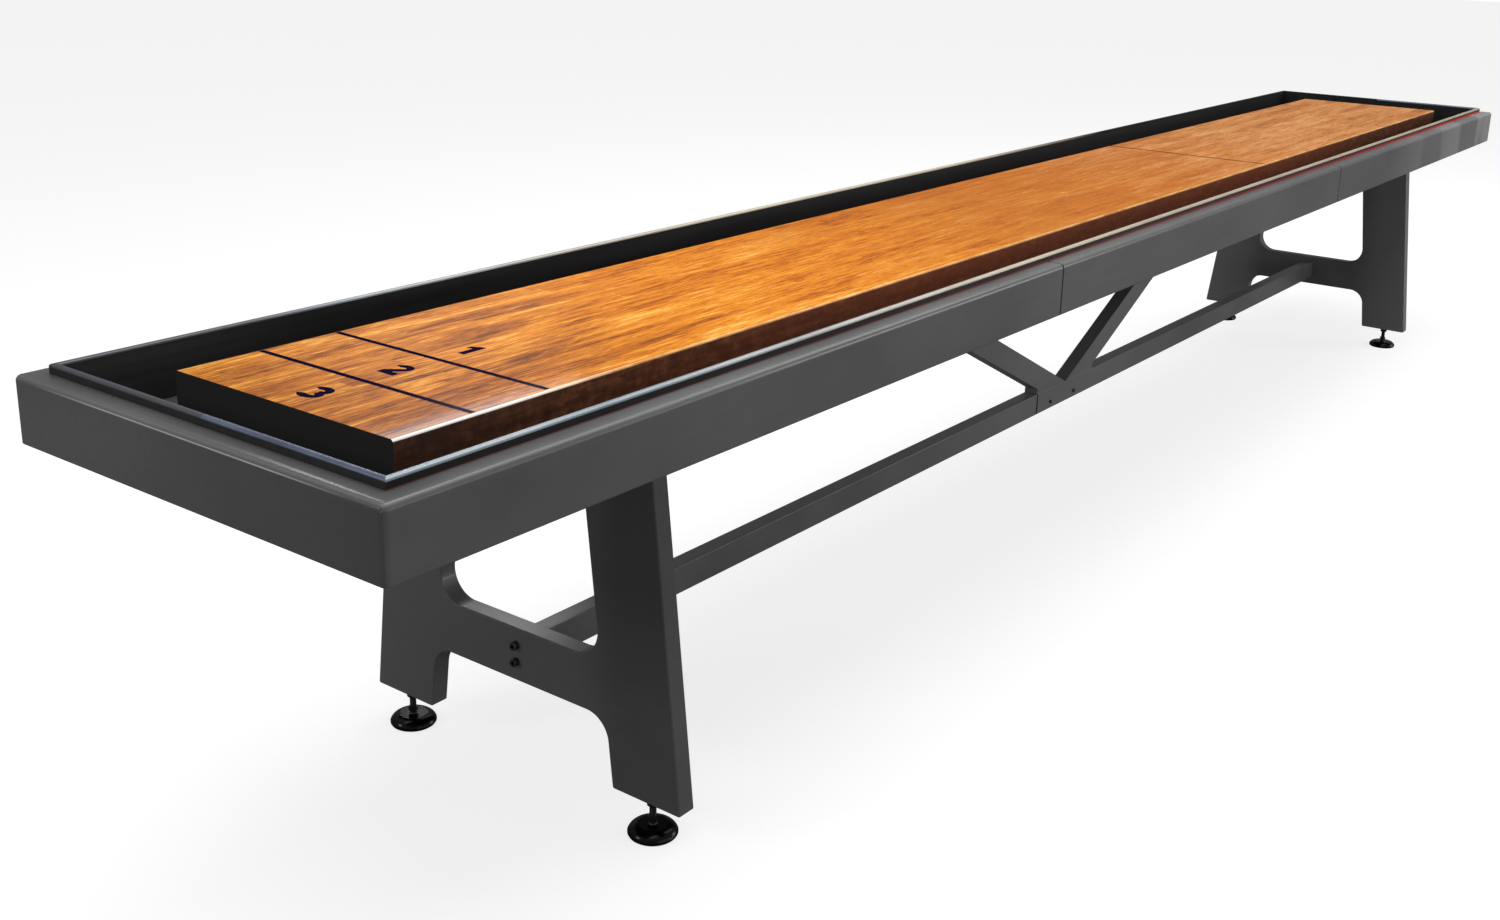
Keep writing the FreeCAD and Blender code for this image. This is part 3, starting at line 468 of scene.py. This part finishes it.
M = {
    "rail_paint": paint("rail_paint", srgb(88, 88, 88), srgb(96, 96, 96), srgb(83, 83, 83), 0.40, 2.2, 0.62, False, RAIL_SEAMS),
    "leg_paint": paint("leg_paint", srgb(88, 88, 88), srgb(95, 95, 95), srgb(82, 82, 82), 0.42, 3.0, 0.0, True),
    "brace_paint": paint("brace_paint", srgb(98, 98, 98), srgb(106, 106, 106), srgb(92, 92, 92), 0.42, 3.0, 0.0, False, LAP_SEAMS),
    "gutter_black": liner(),
    "trim_grey": trim(),
    "carpet_black": felt(),
    "board_maple": wood_board(),
    "ink_navy": ink(),
    "raw_ply": ply("raw_ply", srgb(66, 60, 54), srgb(46, 42, 38)),
    "zinc_steel": metal("zinc_steel", srgb(168, 168, 164), srgb(128, 128, 126), 0.36),
    "black_steel": metal("black_steel", srgb(100, 100, 102), srgb(62, 62, 64), 0.28, 0.9, 0.6),
    "stud_steel": metal("stud_steel", srgb(52, 52, 54), srgb(32, 32, 34), 0.34, 0.8, 0.7),
    "foot_black": gloss_black(),
    "foot_rubber": rubber(),
    "bush_nylon": nylon(),
}

for s in frame["record"]["subparts"]:
    ob = nodes[s["node"]]
    ob.data.materials.clear()
    ob.data.materials.append(M[s["material_slot"]].m)


# ------------------------------------------------------------------ levelling studs with a cut thread
def threaded_stud(tag):
    """Pin, collar, driving hexagon and a threaded shank, all one closed skin."""
    lo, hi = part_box("foot_stud_" + tag)
    cx, cy = (lo.x + hi.x) / 2, (lo.y + hi.y) / 2
    z0 = lo.z
    seg, pitch, r_out, depth = 24, 0.001954, 0.00632, 0.00095
    rows = [(z0, 0.0034, "c"), (z0 + 0.0006, 0.0039, "c"), (z0 + 0.0100, 0.0039, "c"), (z0 + 0.0105, 0.0057, "c"),
            (z0 + 0.0110, 0.0061, "c"), (z0 + 0.01495, 0.0061, "c"), (z0 + 0.01496, 0.0074, "c"),
            (z0 + 0.0155, 0.0085, "h"), (z0 + 0.0224, 0.0085, "h"), (z0 + 0.02294, 0.0074, "c"),
            (z0 + 0.02295, r_out - depth, "c")]
    zt, step = z0 + 0.0236, pitch / 6.0
    while zt < hi.z - 0.0026:
        rows.append((zt, r_out, "t"))
        zt += step
    rows += [(hi.z - 0.0018, r_out - 0.0008, "c"), (hi.z, r_out - 0.0022, "c")]
    bm = bmesh.new()
    rings = []
    for z, r, kind in rows:
        ring = []
        for i in range(seg):
            a = 2 * math.pi * i / seg
            rr = r
            if kind == "h":
                rr = min(r / math.cos((a + math.pi / 6) % (math.pi / 3) - math.pi / 6), r * 1.1547 - 0.0003)
            elif kind == "t":
                ph = ((z - z0) / pitch - i / seg) % 1.0
                tri = min(1.0, max(0.0, abs(2.0 * ph - 1.0) * 1.35 - 0.15))
                fade = min(1.0, (z - z0 - 0.0230) / 0.004)
                rr = r - depth * (1.0 - tri) * max(0.25, fade)
            ring.append(bm.verts.new((cx + rr * math.cos(a), cy + rr * math.sin(a), z)))
        rings.append(ring)
    for p, q in zip(rings, rings[1:]):
        for i in range(seg):
            j = (i + 1) % seg
            bm.faces.new((p[i], p[j], q[j], q[i]))
    for ring, flip in ((rings[0], True), (rings[-1], False)):
        c = bm.verts.new((cx, cy, ring[0].co.z))
        for i in range(seg):
            j = (i + 1) % seg
            bm.faces.new((c, ring[j], ring[i]) if flip else (c, ring[i], ring[j]))
    bmesh.ops.recalc_face_normals(bm, faces=bm.faces[:])
    me = bpy.data.meshes.new("threaded_stud_" + tag)
    bm.to_mesh(me)
    bm.free()
    ob = bpy.data.objects.new("threaded_stud_" + tag, me)
    scene.collection.objects.link(ob)
    me.materials.append(M["stud_steel"].m)
    for p in me.polygons:
        p.use_smooth = False
    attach(ob, "foot_screw_" + tag)
    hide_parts("foot_stud_" + tag)


for tag in ("front_left", "front_right", "back_left", "back_right"):
    threaded_stud(tag)


# ------------------------------------------------------------------ felt carpet in the gutter
def hash01(i, j):
    v = math.sin(i * 127.1 + j * 311.7) * 43758.5453
    return v - math.floor(v)


def soft(u, v):
    """Smooth value noise, 0 to 1."""
    i, j = math.floor(u), math.floor(v)
    a, b = u - i, v - j
    a, b = a * a * (3 - 2 * a), b * b * (3 - 2 * b)
    top = hash01(i, j) * (1 - a) + hash01(i + 1, j) * a
    bot = hash01(i, j + 1) * (1 - a) + hash01(i + 1, j + 1) * a
    return top * (1 - b) + bot * b


def felt_carpet():
    """A needled felt sheet laid round the gutter: cut edges rounded over, the nap a little uneven, slack in long low swells."""
    lo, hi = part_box("gutter_carpet")
    blo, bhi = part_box("playfield_board")
    g = 0.0006
    x0, x1, y0, y1 = lo.x + g, hi.x - g, lo.y + g, hi.y - g
    hx, hy = bhi.x - 0.008 + g, bhi.y - 0.008 + g

    def cuts(a, b, step):
        n = max(1, round((b - a) / step))
        return [a + (b - a) * i / n for i in range(n + 1)]

    def axis(out, hole, fine, wide):
        e = 0.0011
        left = [-out, -out + e] + cuts(-out + 2.6 * e, -hole - 2.6 * e, fine) + [-hole - e, -hole]
        mid = cuts(-hole, hole, wide)[1:-1]
        return left + mid + [-v for v in reversed(left)]
    xs, ys = axis(x1, hx, 0.008, 0.008), axis(y1, hy, 0.008, 0.010)
    z0, z1 = lo.z, hi.z
    edge_drop = {}

    def inside(i, j):
        mx, my = (xs[i] + xs[i + 1]) / 2, (ys[j] + ys[j + 1]) / 2
        return not (abs(mx) < hx and abs(my) < hy)

    def top(x, y):
        d = min(x1 - abs(x), y1 - abs(y))
        inner = max(abs(x) - hx, abs(y) - hy)
        d = min(d, inner)
        t = max(0.0, min(1.0, d / 0.0024))
        rim = math.sqrt(max(0.0, 1 - (1 - t) ** 2))
        z = z0 + 0.0008 + (z1 - z0 - 0.0012) * rim
        swell = (soft(x * 3.1, y * 9.0) - 0.5) * 0.0006 + (soft(x * 70.0, y * 70.0) - 0.5) * 0.0005 + (soft(x * 23.0 + 9, y * 31.0) - 0.5) * 0.0004
        return min(z1, z + swell * rim)
    bm = bmesh.new()
    up, dn = {}, {}

    def vert(store, i, j, z):
        if (i, j) not in store:
            store[(i, j)] = bm.verts.new((xs[i], ys[j], z))
        return store[(i, j)]
    nx, ny = len(xs) - 1, len(ys) - 1
    for i in range(nx):
        for j in range(ny):
            if not inside(i, j):
                continue
            q = [(i, j), (i + 1, j), (i + 1, j + 1), (i, j + 1)]
            bm.faces.new([vert(up, a, b, top(xs[a], ys[b])) for a, b in q])
            bm.faces.new([vert(dn, a, b, z0 + 0.0001) for a, b in reversed(q)])
            for (a, b), (di, dj) in zip(q, ((0, -1), (1, 0), (0, 1), (-1, 0))):
                ni, nj = i + di, j + dj
                if 0 <= ni < nx and 0 <= nj < ny and inside(ni, nj):
                    continue
                k = q.index((a, b))
                c, d = q[(k + 1) % 4]
                bm.faces.new((vert(dn, a, b, z0 + 0.0001), vert(dn, c, d, z0 + 0.0001),
                              vert(up, c, d, top(xs[c], ys[d])), vert(up, a, b, top(xs[a], ys[b]))))
    bmesh.ops.recalc_face_normals(bm, faces=bm.faces[:])
    me = bpy.data.meshes.new("felt_carpet")
    bm.to_mesh(me)
    bm.free()
    for p in me.polygons:
        p.use_smooth = True
    ob = bpy.data.objects.new("felt_carpet", me)
    scene.collection.objects.link(ob)
    me.materials.append(M["carpet_black"].m)
    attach(ob, "root")
    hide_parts("gutter_carpet")


felt_carpet()


# ------------------------------------------------------------------ arrises eased where the stock is sharp
def ease(name, width, segments=2, angle=40.0):
    b = nodes[name].modifiers.new("eased", "BEVEL")
    b.width = width
    b.segments = segments
    b.limit_method = "ANGLE"
    b.angle_limit = math.radians(angle)
    b.harden_normals = False
    b.use_clamp_overlap = True


for side in ("left", "right"):
    ease("brace_strut_" + side, 0.0012)


# ------------------------------------------------------------------ camera, light, floor
cam_data = bpy.data.cameras.new("camera")
cam = bpy.data.objects.new("camera", cam_data)
scene.collection.objects.link(cam)
AZ, EL, ROLL = math.radians(-53.270), math.radians(16.294), math.radians(1.429)
back = Vector((math.sin(AZ) * math.cos(EL), -math.cos(AZ) * math.cos(EL), math.sin(EL)))
right = (-back).cross(Vector((0, 0, 1))).normalized()
upv = right.cross(-back)
r2 = right * math.cos(ROLL) + upv * math.sin(ROLL)
u2 = -right * math.sin(ROLL) + upv * math.cos(ROLL)
rot = Matrix((r2, u2, back)).transposed()
cam.matrix_world = Matrix.Translation((-3.9243, -1.8539, 1.5374)) @ rot.to_4x4()
cam_data.lens = 38.25
cam_data.sensor_width = 36.0
cam_data.sensor_fit = "HORIZONTAL"
cam_data.shift_y = -0.0623
cam_data.clip_start = 0.05
cam_data.clip_end = 100.0
scene.camera = cam


def area(name, loc, target, sx, sy, power, colour=(1, 1, 1)):
    d = bpy.data.lights.new(name, "AREA")
    d.shape = "RECTANGLE"
    d.size, d.size_y = sx, sy
    d.energy = power
    d.color = colour
    o = bpy.data.objects.new(name, d)
    scene.collection.objects.link(o)
    o.location = loc
    o.rotation_euler = (Vector(target) - Vector(loc)).to_track_quat("-Z", "Y").to_euler()
    return o


area("overhead", (0.0, 0.0, 4.2), (0, 0, 0), 9.0, 3.6, 205)
area("front_far", (4.8, -4.4, 1.9), (2.6, 0, 0.7), 2.6, 2.0, 85)
area("front_soft", (-1.2, -6.0, 1.7), (0.3, 0, 0.5), 6.5, 2.2, 46)
area("end_key", (-6.6, 2.7, 3.0), (-2.1, 0, 0.35), 1.3, 1.1, 46)
area("low_front", (2.2, -5.2, 0.55), (1.4, 0, 0.30), 3.6, 0.8, 34)
area("low_end", (-8.0, -1.6, 0.60), (0, 0, 0.35), 2.6, 0.8, 26)
area("over_board", (-1.65, 0.0, 2.5), (-1.65, 0, 0.8), 0.9, 0.5, 4.5)

# a long low strip reflected in the varnish along the near edge of the board
bm = bmesh.new()
bmesh.ops.create_grid(bm, x_segments=4, y_segments=1, size=0.5)
me = bpy.data.meshes.new("strip_card")
bm.to_mesh(me)
bm.free()
card = bpy.data.objects.new("strip_card", me)
scene.collection.objects.link(card)
card.matrix_world = Matrix.Translation((0.35, 3.0, 2.328)) @ Matrix.Rotation(math.radians(90), 4, "X") @ Matrix.Diagonal((2.0, 0.22, 1.0, 1.0))
card.visible_camera = card.visible_diffuse = card.visible_shadow = card.visible_transmission = False
cm = bpy.data.materials.new("strip_card")
cm.use_nodes = True
ct = cm.node_tree
ct.nodes.clear()
ce, co = ct.nodes.new("ShaderNodeEmission"), ct.nodes.new("ShaderNodeOutputMaterial")
ce.inputs[0].default_value = (1.0, 0.97, 0.98, 1.0)
ce.inputs[1].default_value = 8.0
ctc, csp = ct.nodes.new("ShaderNodeTexCoord"), ct.nodes.new("ShaderNodeSeparateXYZ")
ct.links.new(ctc.outputs["Object"], csp.inputs[0])


def fall(socket):
    a, b = ct.nodes.new("ShaderNodeMath"), ct.nodes.new("ShaderNodeMath")
    a.operation, b.operation = "MULTIPLY", "MULTIPLY_ADD"
    a.inputs[1].default_value = 2.0
    ct.links.new(socket, a.inputs[0])
    sq = ct.nodes.new("ShaderNodeMath")
    sq.operation = "MULTIPLY"
    ct.links.new(a.outputs[0], sq.inputs[0])
    ct.links.new(a.outputs[0], sq.inputs[1])
    b.inputs[1].default_value, b.inputs[2].default_value = -1.0, 1.0
    ct.links.new(sq.outputs[0], b.inputs[0])
    return b.outputs[0]


cmul, cstr = ct.nodes.new("ShaderNodeMath"), ct.nodes.new("ShaderNodeMath")
cmul.operation = cstr.operation = "MULTIPLY"
ct.links.new(fall(csp.outputs[0]), cmul.inputs[0])
ct.links.new(fall(csp.outputs[1]), cmul.inputs[1])
ct.links.new(cmul.outputs[0], cstr.inputs[0])
cstr.inputs[1].default_value = 21.0
ct.links.new(cstr.outputs[0], ce.inputs[1])
ct.links.new(ce.outputs[0], co.inputs[0])
me.materials.append(cm)

# white to the camera, dim at the horizon and brighter overhead for light and reflections
world = bpy.data.worlds.new("world")
world.use_nodes = True
wt = world.node_tree
bg = wt.nodes["Background"]
lp = wt.nodes.new("ShaderNodeLightPath")
tcw = wt.nodes.new("ShaderNodeTexCoord")
sep = wt.nodes.new("ShaderNodeSeparateXYZ")
wt.links.new(tcw.outputs["Generated"], sep.inputs[0])
grad = wt.nodes.new("ShaderNodeMapRange")
wt.links.new(sep.outputs["Z"], grad.inputs[0])
for i, v in zip((1, 2, 3, 4), (0.0, 0.9, 0.10, 0.50)):
    grad.inputs[i].default_value = v
pick = wt.nodes.new("ShaderNodeMix")
wt.links.new(lp.outputs["Is Camera Ray"], pick.inputs[0])
wt.links.new(grad.outputs[0], pick.inputs[2])
pick.inputs[3].default_value = 1.0
bg.inputs[0].default_value = (1.0, 1.0, 1.0, 1.0)
wt.links.new(pick.outputs[0], bg.inputs[1])
scene.world = world

bm = bmesh.new()
bmesh.ops.create_grid(bm, x_segments=8, y_segments=8, size=30.0)
me = bpy.data.meshes.new("studio_floor")
bm.to_mesh(me)
bm.free()
floor = bpy.data.objects.new("studio_floor", me)
scene.collection.objects.link(floor)
fm = Mat("studio_floor")
fn = fm.noise(fm.pos, 3.0, 3.0, 0.5)
lpf = fm.n("ShaderNodeLightPath")
seen = lpf.outputs["Is Camera Ray"]
# near white to the camera, a mid grey to everything else so that little light comes back up
fm.set(color=fm.mix(seen, srgb(120, 120, 120), srgb(158, 158, 158)), rough=fm.span(fn, 0.3, 0.7, 0.88, 0.94), spec=0.0)
fm.p.inputs["Emission Color"].default_value = (1, 1, 1, 1)
fm.put(fm.p.inputs["Emission Strength"], fm.math("MULTIPLY", seen, 0.76))
floor.data.materials.append(fm.m)
# a table stands on its feet: the floor goes down with the lowest one as it is wound out
drv = floor.driver_add("location", 2).driver
drv.type = "MIN"
for tag in ("front_left", "front_right", "back_left", "back_right"):
    var = drv.variables.new()
    var.name = tag
    var.type = "TRANSFORMS"
    var.targets[0].id = bpy.data.objects["body:foot_swivel_" + tag]
    var.targets[0].transform_type = "LOC_Z"
    var.targets[0].transform_space = "WORLD_SPACE"

scene.view_settings.view_transform = "Standard"
scene.view_settings.look = "None"
